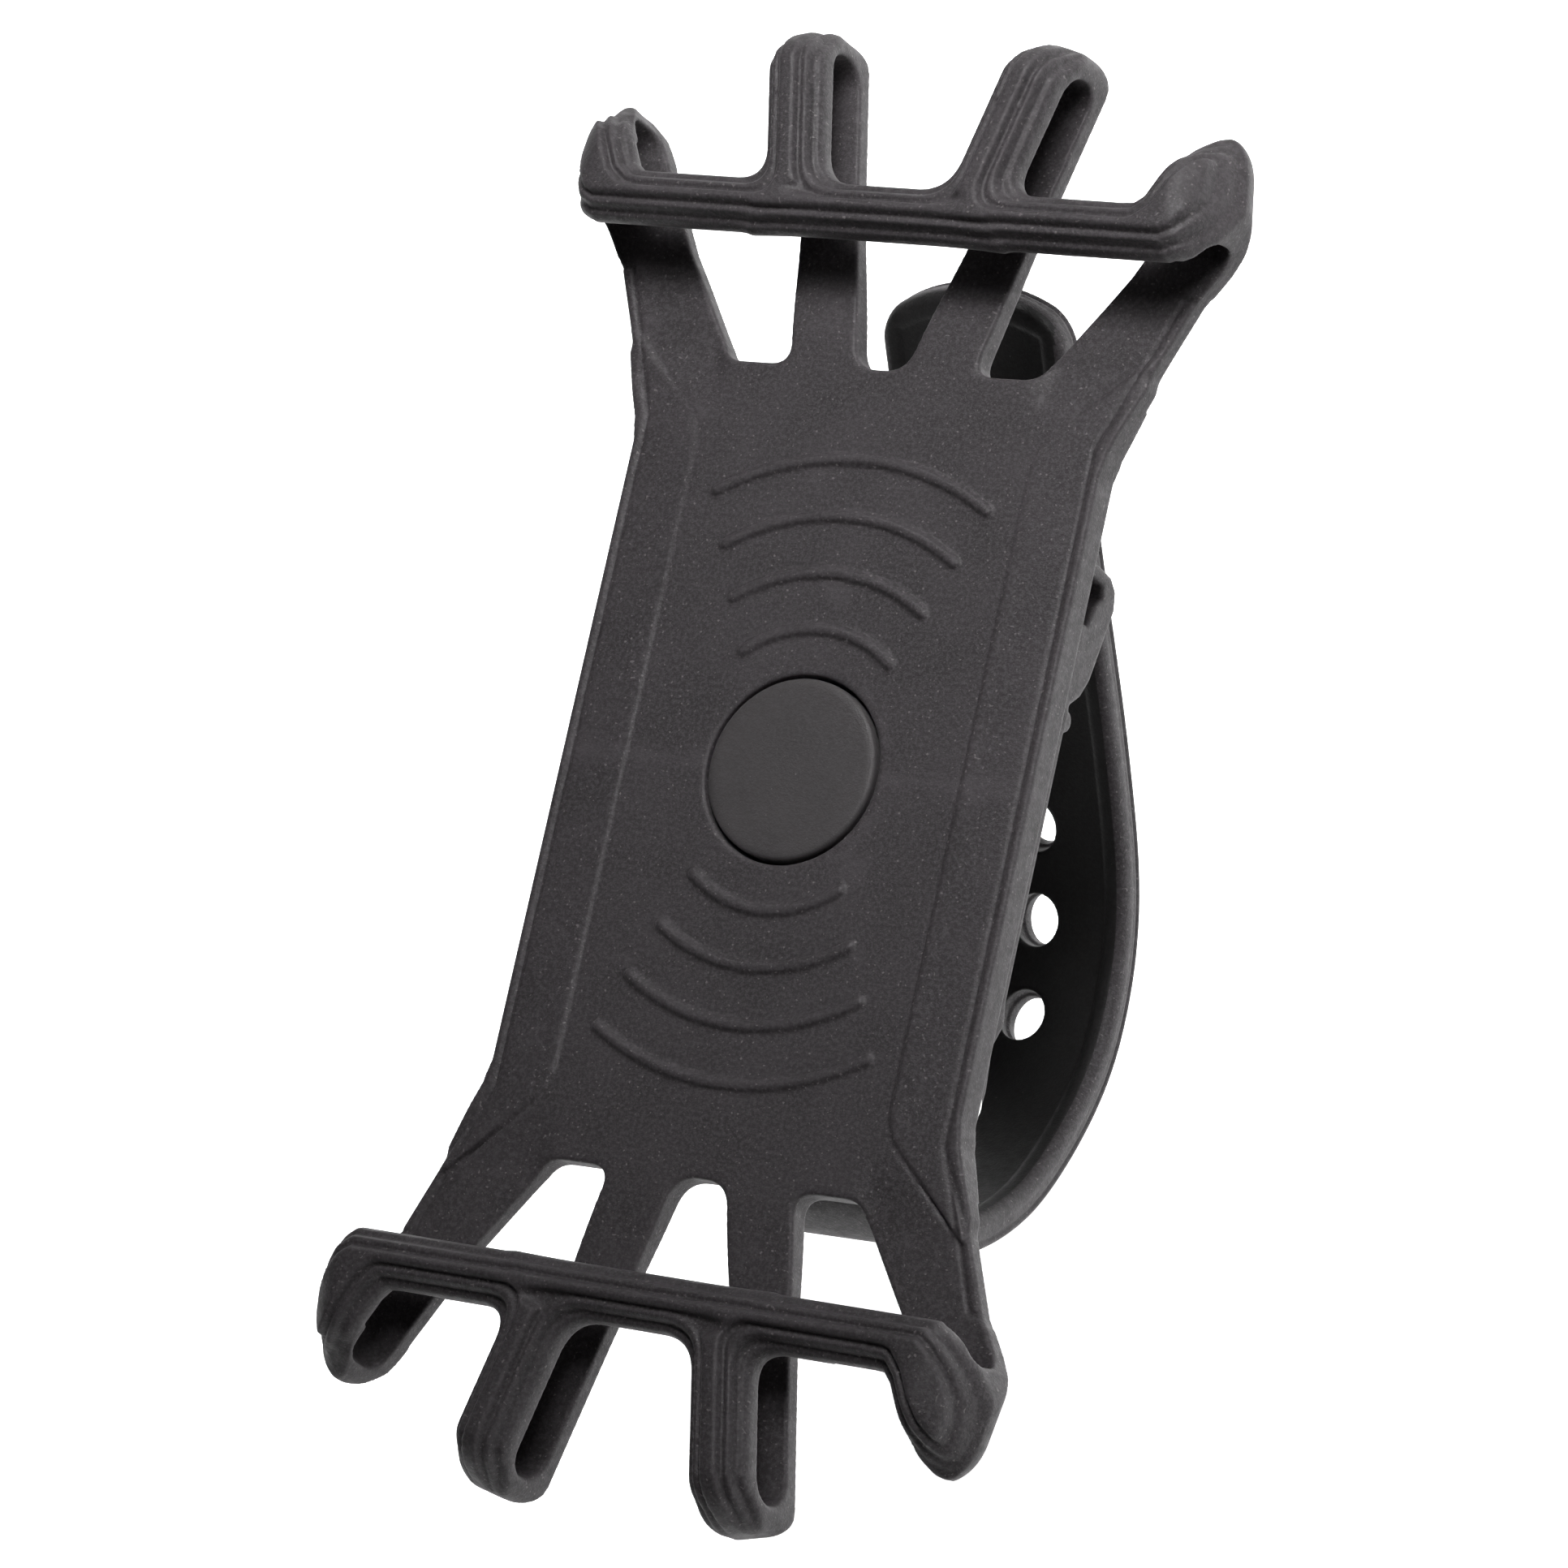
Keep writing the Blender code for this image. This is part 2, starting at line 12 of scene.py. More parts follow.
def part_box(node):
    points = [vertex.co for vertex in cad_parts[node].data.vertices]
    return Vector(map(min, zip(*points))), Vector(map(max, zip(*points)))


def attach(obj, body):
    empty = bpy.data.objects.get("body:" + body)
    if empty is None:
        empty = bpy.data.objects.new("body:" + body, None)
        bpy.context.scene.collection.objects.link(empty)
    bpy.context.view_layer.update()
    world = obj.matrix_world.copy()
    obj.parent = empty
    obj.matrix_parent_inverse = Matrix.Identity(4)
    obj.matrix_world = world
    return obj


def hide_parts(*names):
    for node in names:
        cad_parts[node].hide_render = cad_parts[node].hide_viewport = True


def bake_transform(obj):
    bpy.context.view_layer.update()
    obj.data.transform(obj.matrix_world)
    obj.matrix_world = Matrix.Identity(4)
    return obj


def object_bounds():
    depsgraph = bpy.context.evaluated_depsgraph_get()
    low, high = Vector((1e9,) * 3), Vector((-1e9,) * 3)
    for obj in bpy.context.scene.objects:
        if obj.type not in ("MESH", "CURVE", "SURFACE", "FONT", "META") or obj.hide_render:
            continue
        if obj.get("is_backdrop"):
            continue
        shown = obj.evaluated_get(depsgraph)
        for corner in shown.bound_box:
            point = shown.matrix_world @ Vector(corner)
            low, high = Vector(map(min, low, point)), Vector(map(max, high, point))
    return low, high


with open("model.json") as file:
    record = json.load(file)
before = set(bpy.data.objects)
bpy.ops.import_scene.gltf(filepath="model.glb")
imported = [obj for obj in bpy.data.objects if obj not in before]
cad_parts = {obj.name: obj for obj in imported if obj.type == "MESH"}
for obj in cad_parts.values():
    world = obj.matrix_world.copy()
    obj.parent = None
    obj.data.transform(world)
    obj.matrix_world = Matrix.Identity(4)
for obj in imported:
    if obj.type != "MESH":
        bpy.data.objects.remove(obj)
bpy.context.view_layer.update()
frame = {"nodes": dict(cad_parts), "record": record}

# Lengths in this file are millimetres, with heights over the phone face, as in the design.
MM = 0.001
FRONT_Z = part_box("cradle_plate")[1][2] / MM
VOXEL = 0.24

# Cradle: plan sizes, then heights, then the section of the legs and their stepped fronts.
PLATE_HALF = 26.35
WAIST_Y = 34.5
NOTCH_Y = 40.9
BUTTON_HOLE_R = 9.55
BAR_IN, BAR_OUT = 51.8, 57.3
BAR_BACK = 4.9
LEG_TOP = 9.2
ARM_TOP, ARM_BOTTOM = -0.6, -2.8
PLATE_BOTTOM = -3.7
SPLIT_X = 22.0          # inner fingers lie inside this, corner legs outside
WALL = 2.7
CORNER_WALL = 2.3
CORNER_REACH, FINGER_REACH = 6.0, 5.2
FOLD_ROUND = 3.6
FINGER_BACK_ROUND, CORNER_BACK_ROUND = 3.6, 4.6
SOFT, SOFTER, SOFTEST = 0.35, 0.4, 0.5
MOULD_LINE = 2.2
CAP_CENTRE = -1.2
CROWN = 1.55
LEDGE = 0.55
LEDGES = (0.95, 2.1)

# Strap: places along it are counted from the peg, the route is (Y, height) from pin to tongue.
STRAP_HALF = 10.5
STRAP_HALF_THICK = 1.7
STRAP_SIDE_SHIFT = 0.15
TONGUE_BOW, TONGUE_HALF = 10.12, 13.5
EYE_R, PIN_BORE = 3.5, 1.7
HOLE_R, HOLE_LONG, HOLE_NARROW = 2.35, 1.1, 1.06
HOLE_STEP = 0.28
HOLES = (-48.3, -37.7, -27.2, -17.6, -8.6, 0.0, 8.6, 17.2)
HOOK_Y = 29.6
PIN_AT = (-26.0, -25.4)
STRAP_ROUTE = [PIN_AT, (-33.5, -25.6), (-37.0, -29.4), (-37.3, -36.2), (-30.7, -46.9),
               (-19.3, -54.8), (-8.8, -57.1), (2.6, -54.6), (15.4, -46.0), (33.2, -31.0),
               (44.0, -22.2), (54.5, -13.8)]
STRAP_BREAK = 0.362
PIN_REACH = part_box("strap_anchor_pin")[1][0] / MM + 0.1

# Softened edges of the CAD nodes that still show, in metres.
EDGE_WIDTH, PAD_EDGE_WIDTH = 0.00012, 0.00035

# Studio, in metres; each lamp has its place, size, power in watts, aim and spread in degrees.
WORLD_STRENGTH = 0.015
FLOOR_HALF, FLOOR_DROP, FLOOR_GLOW = 6.0, 0.06, 1.02
LAMPS = (("key", (0.34, 0.34, 0.66), 0.30, 0.20, (0.05, 0.13, 0.03), 27.0),
         ("second", (0.15, 0.45, 0.60), 0.30, 0.35, (0.03, 0.13, 0.03), 32.0),
         ("top", (0.10, 0.75, 0.35), 0.40, 0.066, (0.0, 0.05, 0.03), 60.0),
         ("side", (0.75, 0.0, 0.20), 0.40, 0.075, (0.03, 0.02, 0.0), 40.0),
         ("wash", (0.1, 0.6, 1.50), 1.60, 0.10, (0.0, 0.0, 0.0), 180.0))
CAMERA_LENS, CAMERA_FILM = 159.0, 36.0
CAMERA_PLACE = (0.3393, -0.1291, 0.604)
CAMERA_RIGHT, CAMERA_BACK = (0.858, 0.212, -0.468), (0.506, -0.190, 0.840)


# ------------------------------------------------------------ distance fields

def blend_union(a, b, k):
    """Union of two fields with a fillet of about k."""
    h = np.clip(0.5 + 0.5 * (b - a) / k, 0.0, 1.0)
    return b + (a - b) * h - k * h * (1.0 - h)


def blend_both(a, b, k):
    """What two fields share, with an edge rounded by about k."""
    return -blend_union(-a, -b, k)


def smoothstep(t):
    """Ease from 0 to 1 while t goes from 0 to 1."""
    t = np.clip(t, 0.0, 1.0)
    return t * t * (3.0 - 2.0 * t)


def polygon(x, y, points):
    """Signed distance to a closed outline, negative inside."""
    nearest = np.full(np.broadcast(x, y).shape, 1e9)
    inside = np.zeros(nearest.shape, bool)
    for (x1, y1), (x2, y2) in zip(points, points[1:] + points[:1]):
        ex, ey = x2 - x1, y2 - y1
        t = np.clip(((x - x1) * ex + (y - y1) * ey) / (ex * ex + ey * ey), 0.0, 1.0)
        nearest = np.minimum(nearest, np.hypot(x - x1 - t * ex, y - y1 - t * ey))
        if ey:
            inside ^= ((y1 > y) != (y2 > y)) & (x < x1 + (y - y1) * ex / ey)
    return np.where(inside, -nearest, nearest)


def round_box(qa, qb, radius):
    """Distance to a corner where both sides lie at zero, rounded by the radius."""
    qa = qa + radius
    qb = qb + radius
    outside = np.hypot(np.maximum(qa, 0.0), np.maximum(qb, 0.0))
    return outside + np.minimum(np.maximum(qa, qb), 0.0) - radius


def groove(distance, half_width, depth):
    """A soft dip of the given depth along the line where the distance is zero."""
    return -depth * np.exp(-(distance / half_width) ** 2)


def net_surface(field, origin, step):
    """Surface nets: vertices and quads of the zero level, scaled by the step from the origin."""
    shape = np.array(field.shape)
    inside = field < 0.0
    cells, spots, quads = [], [], []
    for axis in range(3):
        lower = [slice(None)] * 3
        upper = [slice(None)] * 3
        lower[axis], upper[axis] = slice(0, -1), slice(1, None)
        lower, upper = tuple(lower), tuple(upper)
        where = np.argwhere(inside[lower] != inside[upper])
        u, v = (axis + 1) % 3, (axis + 2) % 3
        keep = ((where[:, u] > 0) & (where[:, v] > 0)
                & (where[:, u] < shape[u] - 1) & (where[:, v] < shape[v] - 1))
        where = where[keep]
        low = field[lower][tuple(where.T)]
        high = field[upper][tuple(where.T)]
        place = where.astype(float)
        place[:, axis] += low / (low - high)
        ring = []
        for du, dv in ((0, 0), (1, 0), (1, 1), (0, 1)):
            cell = where.copy()
            cell[:, u] -= du
            cell[:, v] -= dv
            flat = np.ravel_multi_index(tuple(cell.T), tuple(shape))
            cells.append(flat)
            spots.append(place)
            ring.append(flat)
        ring = np.stack(ring, axis=1)
        flip = low > 0.0
        ring[flip] = ring[flip][:, ::-1]
        quads.append(ring)
    cells = np.concatenate(cells)
    spots = np.concatenate(spots)
    names, index = np.unique(cells, return_inverse=True)
    counts = np.bincount(index)
    verts = np.stack([np.bincount(index, spots[:, i]) / counts for i in range(3)], axis=1)
    faces = np.searchsorted(names, np.concatenate(quads))
    for _ in range(2):
        verts = settle(field, verts)
    return verts * step + np.array(origin), faces


def settle(field, verts):
    """Slide each vertex along the slope of the field onto its zero level."""
    cell = np.minimum(np.floor(verts).astype(int), np.array(field.shape) - 2)
    part = verts - cell
    value = np.zeros(len(verts))
    slope = np.zeros((len(verts), 3))
    for corner in np.ndindex(2, 2, 2):
        sample = field[tuple((cell + corner).T)]
        weight = [np.where(corner[i], part[:, i], 1.0 - part[:, i]) for i in range(3)]
        value += sample * weight[0] * weight[1] * weight[2]
        for i in range(3):
            others = weight[(i + 1) % 3] * weight[(i + 2) % 3]
            slope[:, i] += sample * (1.0 if corner[i] else -1.0) * others
    size = np.maximum((slope ** 2).sum(axis=1), 1e-6)
    shift = slope * (value / size)[:, None]
    shift *= np.minimum(1.0, 0.4 / np.maximum(np.linalg.norm(shift, axis=1), 1e-9))[:, None]
    return verts - shift


def mesh_object(name, verts, faces, lift=True):
    """A mesh object from millimetre points; heights are lifted from the phone face to the frame."""
    points = np.array(verts, float)
    if lift:
        points = points + (0.0, 0.0, FRONT_Z)
    mesh = bpy.data.meshes.new(name)
    mesh.from_pydata((points * MM).tolist(), [], [list(map(int, face)) for face in faces])
    mesh.update()
    made = bpy.data.objects.new(name, mesh)
    bpy.context.scene.collection.objects.link(made)
    return made


def apply_modifiers(piece):
    """Put the result of the modifiers in place of the mesh."""
    bpy.context.view_layer.update()
    evaluated = piece.evaluated_get(bpy.context.evaluated_depsgraph_get())
    mesh = bpy.data.meshes.new_from_object(evaluated)
    old = piece.data
    piece.modifiers.clear()
    piece.data = mesh
    bpy.data.meshes.remove(old)


def relax(piece, rounds, factor):
    """Even out small steps of the surface."""
    change = piece.modifiers.new("relax", "SMOOTH")
    change.iterations = rounds
    change.factor = factor
    apply_modifiers(piece)


def thin_out(piece, ratio):
    """Keep this share of the faces."""
    change = piece.modifiers.new("thin", "DECIMATE")
    change.ratio = ratio
    apply_modifiers(piece)


def face_out(piece):
    """Drop points without a face and turn all faces outwards."""
    data = bmesh.new()
    data.from_mesh(piece.data)
    bmesh.ops.delete(data, geom=[v for v in data.verts if not v.link_faces], context="VERTS")
    bmesh.ops.recalc_face_normals(data, faces=data.faces)
    data.to_mesh(piece.data)
    data.free()


def smooth_shade(piece, angle=50.0):
    """Shade smooth, with edges sharper than the angle kept."""
    piece.data.shade_smooth()
    piece.data.set_sharp_from_angle(angle=math.radians(angle))


# ------------------------------------------------------------ cradle moulding

# The inner finger's foot and heading; its tip lies this far along. Folds are (nx, ny, reach) of
# the lines where a corner leg turns down.
HEADING = (0.2250, 0.9744)
INNER_FOOT = (6.9, 42.4)
INNER_TIP = 32.6
FOLD_SIDE = (0.985, 0.17, 46.8)
FOLD_TIP = (0.17, 0.985, 71.0)
# The two ends of the soft moulding have set differently, as the photo shows: crossbar shift,
# wing groove depth, wing step height and its width, then the splay of the inner fingers.
ENDS = {"upper": (0.2, 0.03, 0.08, 1.0, 0.013), "lower": (-0.25, 0.26, 0.22, 0.3, 0.006)}
LEAN = 0.0125
# Each wave line is an arc: half width, Y of its ends and Y of its crest.
WAVES = ((15.23, 27.39, 31.52), (12.92, 21.97, 25.68), (10.62, 16.67, 19.86), (8.24, 11.35, 14.17))
WAVE_HALF, WAVE_HIGH = 0.62, 0.42


def inner_finger_plan(x, y):
    """Outline of the inner finger, place along it, and distance in from its sides."""
    along = (x - INNER_FOOT[0]) * HEADING[0] + (y - INNER_FOOT[1]) * HEADING[1]
    across = (x - INNER_FOOT[0]) * HEADING[1] - (y - INNER_FOOT[1]) * HEADING[0]
    half = 3.62 - 0.44 * smoothstep((along - 1.0) / 15.0)
    strip = round_box(np.abs(across) - half, along - INNER_TIP, 2.1)
    return np.maximum(strip, -5.0 - along), along, half - np.abs(across)


def outer_finger_plan(x, y):
    """Outline of the arm from the plate's side out to the corner."""
    outline = [(17.4, 38.0), (25.7, 33.8), (29.3, 42.9), (32.3, 50.1), (35.8, 55.5), (37.3, 58.6),
               (37.2, 61.6), (36.6, 63.8), (35.6, 65.3), (34.6, 65.7), (33.3, 65.2), (31.9, 63.8),
               (30.5, 61.4), (28.0, 56.9), (25.3, 51.9), (18.7, 42.3)]
    return polygon(x, y, outline) - 0.35


def front_frame_plan(x, y, inner, along, shift):
    """Crossbar, corner leg and the inner finger's leg, as one outline seen from the front."""
    low, high = BAR_IN + shift + 0.7, BAR_OUT + shift - 0.7
    outline = [(-9.0, low), (32.2, low), (34.0, 53.6), (35.6, 55.6), (36.6, 58.0), (36.7, 60.4),
               (36.3, 62.8), (35.6, 64.0), (34.5, 64.3), (33.1, 63.6), (31.7, 62.1), (30.5, 60.1),
               (29.3, 57.8), (28.1, high + 0.1), (26.6, high), (-9.0, high)]
    frame_plan = polygon(x, y, outline) - 0.7
    leg = np.maximum(inner, np.maximum(12.5 - along, along - 26.0))
    return blend_union(frame_plan, leg, 3.4)


def wave_beads(x, y):
    """Height of the raised wave lines on the plate."""
    height = np.zeros(np.broadcast(x, y).shape)
    for half, end, apex in WAVES:
        rise = apex - end
        radius = (half * half + rise * rise) / (2.0 * rise)
        middle = apex - radius
        arc = np.abs(np.hypot(x, y - middle) - radius)
        beyond = np.abs(x) > half * (y - middle) / (end - middle)
        arc = np.where(beyond | (y < middle), np.hypot(np.abs(x) - half, y - end), arc)
        height += WAVE_HIGH * np.sqrt(np.clip(1.0 - (arc / WAVE_HALF) ** 2, 0.0, 1.0))
    return height


def plate_top(x, y, groove_depth, step_height, step_width):
    """Height of the phone side: plate, wings, grooves and arms."""
    base = -0.6 * smoothstep((y - 36.0) / 7.0) * smoothstep((x - 16.5) / 3.0)
    base = np.minimum(base, ARM_TOP * smoothstep((y - 42.0) / 14.0))
    wing = polygon(x, y, [(18.9, -9.0), (18.9, 32.6), (19.9, 34.9), (29.0, 43.5), (29.6, 43.4),
                          (28.3, 40.8), (25.15, 34.6), (25.15, -9.0)])
    outer_part = smoothstep((y - 8.0) / 20.0)
    wing_height = 0.16 + (step_height - 0.16) * outer_part - 0.034 * (x - 18.9)
    width = 0.4 + (step_width - 0.4) * outer_part
    top = base + (wing_height - base) * smoothstep(0.5 - wing / width)
    diagonal = smoothstep((y - 33.0) / 4.0) * smoothstep((29.0 - x) / 1.5)
    inner_side = smoothstep((26.5 - x) / 2.0 + diagonal)
    depth = 0.05 + groove_depth * smoothstep((y - 33.0) / 8.0)
    top = top + groove(wing - 0.18, 0.2, 1.0) * depth * inner_side
    edge_line = polygon(x, y, [(25.25, -9.0), (25.25, 34.6), (31.3, 50.0), (60.0, 50.0),
                               (60.0, -9.0)])
    top = top + groove(edge_line, 0.22, 0.22)
    return top + wave_beads(x, y)


def crown_drop(t):
    """How far the stepped, domed front lies below its ridge, by distance from the edge."""
    dome = CROWN * np.sqrt(np.clip(1.0 - (1.0 - np.clip(t, 0.0, 2.4) / 2.4) ** 2, 0.0, 1.0))
    ledges = sum(LEDGE * smoothstep((t - place) / 0.3) for place in LEDGES)
    lines = sum(0.3 * np.exp(-((t - place + 0.1) / 0.26) ** 2) for place in LEDGES)
    return CROWN + LEDGE * len(LEDGES) - dome - ledges + lines


def loop_front(inside, z, reach, drop):
    """Distance to a leg's front and the rounded cap at its end, straight below the mould line."""
    height = LEG_TOP - CAP_CENTRE
    wide = reach / math.sqrt(1.0 - ((MOULD_LINE - CAP_CENTRE) / height) ** 2)
    u = np.clip(reach - inside, 0.0, None) / wide
    v = np.clip(z - CAP_CENTRE, 0.0, None) / height
    scale = (height * v * v + wide * u * u) / np.maximum(u * u + v * v, 1e-6)
    dome = (np.hypot(u, v) - 1.0) * scale
    dome = dome + drop * np.clip((z - MOULD_LINE) / 3.6, 0.0, 1.0)
    return np.where(z > MOULD_LINE, dome, -inside)


def quarter_field(step, end_name):
    """Distance field of a right-hand quarter of the cradle, with its fingers towards +Y."""
    bar_shift, groove_depth, step_height, step_width, _ = ENDS[end_name]
    xs = np.arange(0.0, 41.0, step)
    ys = np.arange(-2.0 * step, 77.0, step)
    zs = np.arange(-5.2, 10.8, step)
    x, y = np.meshgrid(xs, ys, indexing="ij")
    z = zs[None, None, :]

    inner, along, across = inner_finger_plan(x, y)
    outer = outer_finger_plan(x, y)
    plate = polygon(x, y, [(-9.0, -9.0), (PLATE_HALF, -9.0), (PLATE_HALF, WAIST_Y),
                           (28.7, NOTCH_Y), (-9.0, NOTCH_Y)])
    fan = blend_union(blend_union(plate, inner, 2.4), outer, 2.0)

    top = plate_top(x, y, groove_depth, step_height, step_width)
    bottom = PLATE_BOTTOM + 0.9 * smoothstep((y - 33.0) / 12.0)
    bottom = bottom - groove(polygon(x, y, [(-9, -9), (22, -9), (22, 31), (-9, 31)]), 0.5, 0.35)
    body = blend_both(fan[..., None], z - top[..., None], SOFT)
    body = blend_both(body, bottom[..., None] - z, SOFTER)

    side = x * FOLD_SIDE[0] + y * FOLD_SIDE[1] - FOLD_SIDE[2]
    end = x * FOLD_TIP[0] + y * FOLD_TIP[1] - FOLD_TIP[2]
    fold = np.where(x > 20.0, blend_both(side, end, FOLD_ROUND), -50.0)
    front_plan = front_frame_plan(x, y, inner, along, bar_shift)
    drop = crown_drop(-front_plan)[..., None]
    frame_top = loop_front(-fold[..., None], z, CORNER_REACH, drop)
    front = blend_both(front_plan[..., None], frame_top, SOFTEST)
    back_round = 1.3 - 0.85 * smoothstep((along - 12.0) / 4.0) * (x < SPLIT_X)
    front = blend_both(front, BAR_BACK - z, back_round[..., None])
    body = blend_union(body, front, SOFTER)

    # The slot that makes loops of the fingers: between the arm below and the frame above.
    slot_middle = (BAR_BACK + ARM_TOP) / 2.0
    slot_half = (BAR_BACK - ARM_TOP) / 2.0
    slot = np.abs(z - slot_middle) - slot_half

    tip_inside = (INNER_TIP - along)[..., None]
    tip = np.maximum(inner, INNER_TIP - 9.0 - along)[..., None]
    tip_top = loop_front(tip_inside, z, FINGER_REACH, crown_drop(across)[..., None])
    tip = blend_both(tip, tip_top, SOFTER)
    tip = blend_both(tip, ARM_BOTTOM - z, SOFTER)
    window = round_box((along - (INNER_TIP - WALL))[..., None], slot, 2.6)
    tip = blend_both(tip, -window, SOFTER)
    body = np.minimum(body, tip)

    # The corner leg's outline goes over from the arm's below to the frame's above.
    reach = np.maximum(-front_plan, 0.0)
    both = np.minimum(outer, front_plan)
    wall = np.maximum(both, -(fold + CORNER_WALL + 3.0))[..., None]
    wall_top = loop_front(-fold[..., None], z, CORNER_REACH, crown_drop(reach)[..., None])
    wall = blend_both(wall, wall_top, SOFTEST)
    wall = blend_both(wall, ARM_BOTTOM - z, SOFTER)
    pocket = round_box((fold + CORNER_WALL)[..., None], slot, 2.2)
    wall = blend_both(wall, -pocket, SOFTER)
    rise = smoothstep((z - ARM_TOP) / 6.0)
    legs = rise * front_plan[..., None] + (1.0 - rise) * outer[..., None]
    share = smoothstep((fold + CORNER_WALL + 3.0) / 4.5)[..., None]
    wall = np.maximum(wall, share * both[..., None] + (1.0 - share) * legs)
    body = blend_union(body, wall, 0.3)

    finger_back = round_box(-tip_inside, ARM_BOTTOM - z, FINGER_BACK_ROUND)
    finger_end = loop_front(tip_inside, z, FINGER_REACH, 0.0)
    near = (along > 14.0)[..., None] & (x < SPLIT_X)[..., None]
    body = np.where(near, np.maximum(np.maximum(body, finger_back), finger_end), body)
    corner_back = round_box(fold[..., None], ARM_BOTTOM - z, CORNER_BACK_ROUND)
    near = (fold > -12.0)[..., None] & (x > SPLIT_X)[..., None]
    body = np.where(near, np.maximum(body, corner_back), body)

    hole = BUTTON_HOLE_R - np.hypot(x, y)[..., None]
    return blend_both(body, hole, SOFT), xs, ys, zs


def cradle_half(name, end_name, mirrored):
    """One half of the cradle, cut flat at the middle of the plate."""
    field, xs, ys, zs = quarter_field(VOXEL, end_name)
    whole = np.concatenate([field[:0:-1], field], axis=0)
    verts, faces = net_surface(whole, (-xs[-1], ys[0], zs[0]), VOXEL)
    sense = -1.0 if mirrored else 1.0
    x, y, z = verts.T
    splay = ENDS[end_name][-1] * np.clip(y - 40.0, 0.0, None) * smoothstep((27.0 - np.abs(x)) / 5.0)
    lean = LEAN * x * smoothstep(z / 5.0) * smoothstep((y - 46.0) / 6.0)
    verts[:, 0] += sense * splay
    verts[:, 1] -= sense * lean
    piece = mesh_object(name, verts, faces)
    relax(piece, 1, 0.2)
    thin_out(piece, 0.42)
    cut = bmesh.new()
    cut.from_mesh(piece.data)
    bmesh.ops.bisect_plane(cut, geom=cut.verts[:] + cut.edges[:] + cut.faces[:], dist=1e-7,
                           plane_co=(0, 0, 0), plane_no=(0, -1, 0), clear_outer=True)
    rim = [edge for edge in cut.edges if edge.is_boundary]
    bmesh.ops.triangle_fill(cut, use_beauty=True, edges=rim)
    if mirrored:
        bmesh.ops.transform(cut, matrix=Matrix.Scale(-1, 4, (0, 1, 0)), verts=cut.verts)
    bmesh.ops.recalc_face_normals(cut, faces=cut.faces)
    cut.to_mesh(piece.data)
    cut.free()
    smooth_shade(piece, 58.0)
    return piece


# ------------------------------------------------------------ strap

def strap_route():
    """The strap's middle line as dense samples: lengths, points and tangents in Y and height."""
    padded = [STRAP_ROUTE[0]] + STRAP_ROUTE + [STRAP_ROUTE[-1]]
    points = []
    for i in range(len(STRAP_ROUTE) - 1):
        p0, p1, p2, p3 = (np.array(padded[i + k]) for k in range(4))
        for k in range(40):
            t = k / 40.0
            points.append(0.5 * (2 * p1 + (p2 - p0) * t + (2 * p0 - 5 * p1 + 4 * p2 - p3) * t * t
                                 + (3 * p1 - p0 - 3 * p2 + p3) * t ** 3))
    points.append(np.array(STRAP_ROUTE[-1]))
    points = np.array(points)
    steps = np.hypot(*np.diff(points, axis=0).T)
    lengths = np.concatenate([[0.0], np.cumsum(steps)])
    tangents = np.gradient(points, lengths, axis=0)
    tangents /= np.hypot(*tangents.T)[:, None]
    return lengths, points, tangents


def on_route(route, distance):
    """Points and tangents at distances along the route, which goes on straight past its ends."""
    lengths, points, tangents = route
    inside = np.clip(distance, 0.0, lengths[-1])
    place = np.stack([np.interp(inside, lengths, points[:, i]) for i in range(2)], axis=-1)
    tangent = np.stack([np.interp(inside, lengths, tangents[:, i]) for i in range(2)], axis=-1)
    tangent /= np.linalg.norm(tangent, axis=-1, keepdims=True)
    return place + tangent * (distance - inside)[..., None], tangent


